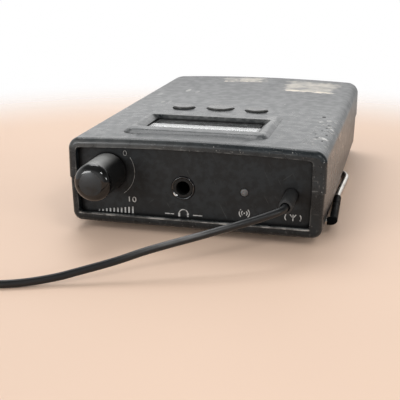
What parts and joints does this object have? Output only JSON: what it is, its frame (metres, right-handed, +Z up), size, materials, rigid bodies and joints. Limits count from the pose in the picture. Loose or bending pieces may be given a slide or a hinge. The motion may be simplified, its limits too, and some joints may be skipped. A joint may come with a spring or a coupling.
{
  "type": "wireless bodypack receiver",
  "caption": "Flat belt-worn wireless audio pack: recessed control end with volume knob, headphone socket, lamp and wire antenna, display and keys on top, hinged wire belt clip under its back.",
  "frame": {"origin": "middle of the base on which the pack lies, under the middle of its length with the knob and without the antenna wire", "axes": "+Y from the control end to the tail, +Z up through the display face, +X to the right as the control end is faced"},
  "size_m": [0.0938, 0.1477, 0.0254],
  "materials": {
    "case_plastic": "satin coat, worn",
    "panel_plastic": "fine matte",
    "window_clear": "clear",
    "lcd_cell": "grey-green display cell",
    "white_plastic": "matte",
    "key_plastic": "satin",
    "red_plastic": "moulded",
    "black_plastic": "moulded",
    "board_green": "solder mask",
    "steel": "plated",
    "tin_sheet": "tinned",
    "gloss_black": "semi-gloss",
    "nickel": "nickel plate",
    "lamp_lens": "diffused",
    "black_rubber": "matte",
    "cord_black": "smooth sheath",
    "cell_jacket": "printed film",
    "black_steel": "black oxide"
  },
  "bodies": {
    "case": {"front_shell": "case_plastic", "rear_shell": "case_plastic", "end_panel": "panel_plastic", "lcd_window": "window_clear", "lcd_glass": "lcd_cell", "lcd_holder": "white_plastic", "tact_switches": "black_plastic", "display_board": "board_green", "display_screws": "steel", "main_board": "board_green", "board_screws": "steel", "board_header": "black_plastic", "rf_shield": "tin_sheet", "board_components": "black_plastic", "volume_pot": "black_plastic", "phones_jack": "black_plastic", "jack_ring": "nickel", "rf_led": "lamp_lens", "antenna_boot": "black_rubber", "antenna_lead": "red_plastic", "antenna_wire": "cord_black", "battery_cell_left": "cell_jacket", "battery_cell_right": "cell_jacket", "battery_springs": "nickel", "battery_plates": "nickel", "case_screws": "black_steel"},
    "knob": {"volume_knob": "gloss_black", "pot_shaft": "steel"},
    "key_left": {"button_left": "key_plastic", "plunger_left": "red_plastic"},
    "key_middle": {"button_middle": "key_plastic", "plunger_middle": "red_plastic"},
    "key_right": {"button_right": "key_plastic", "plunger_right": "red_plastic"},
    "door": {"battery_door": "case_plastic"},
    "clip": {"belt_clip": "nickel", "clip_sleeve_left": "cord_black", "clip_sleeve_right": "cord_black"}
  },
  "joints": [
    {"name": "knob_turn", "type": "hinge", "parent": "case", "child": "knob", "pos_m": [-0.0226, -0.04625, 0.0156], "axis": [0, 1, 0], "range_deg": [0, 300]},
    {"name": "key_left_press", "type": "slide", "parent": "case", "child": "key_left", "axis": [0, 0, -1], "range_m": [0, 0.00035], "stiffness_N_per_m": 1500, "springref_m": -0.0003},
    {"name": "key_middle_press", "type": "slide", "parent": "case", "child": "key_middle", "axis": [0, 0, -1], "range_m": [0, 0.00035], "stiffness_N_per_m": 1500, "springref_m": -0.0003},
    {"name": "key_right_press", "type": "slide", "parent": "case", "child": "key_right", "axis": [0, 0, -1], "range_m": [0, 0.00035], "stiffness_N_per_m": 1500, "springref_m": -0.0003},
    {"name": "door_slide", "type": "slide", "parent": "case", "child": "door", "axis": [0, 1, 0], "range_m": [0, 0.06]},
    {"name": "clip_swing", "type": "hinge", "parent": "case", "child": "clip", "pos_m": [0, -0.03645, 0.004], "axis": [-1, 0, 0], "range_deg": [0, 25], "stiffness_Nm_per_rad": 3, "springref_deg": -0.57}
  ]
}
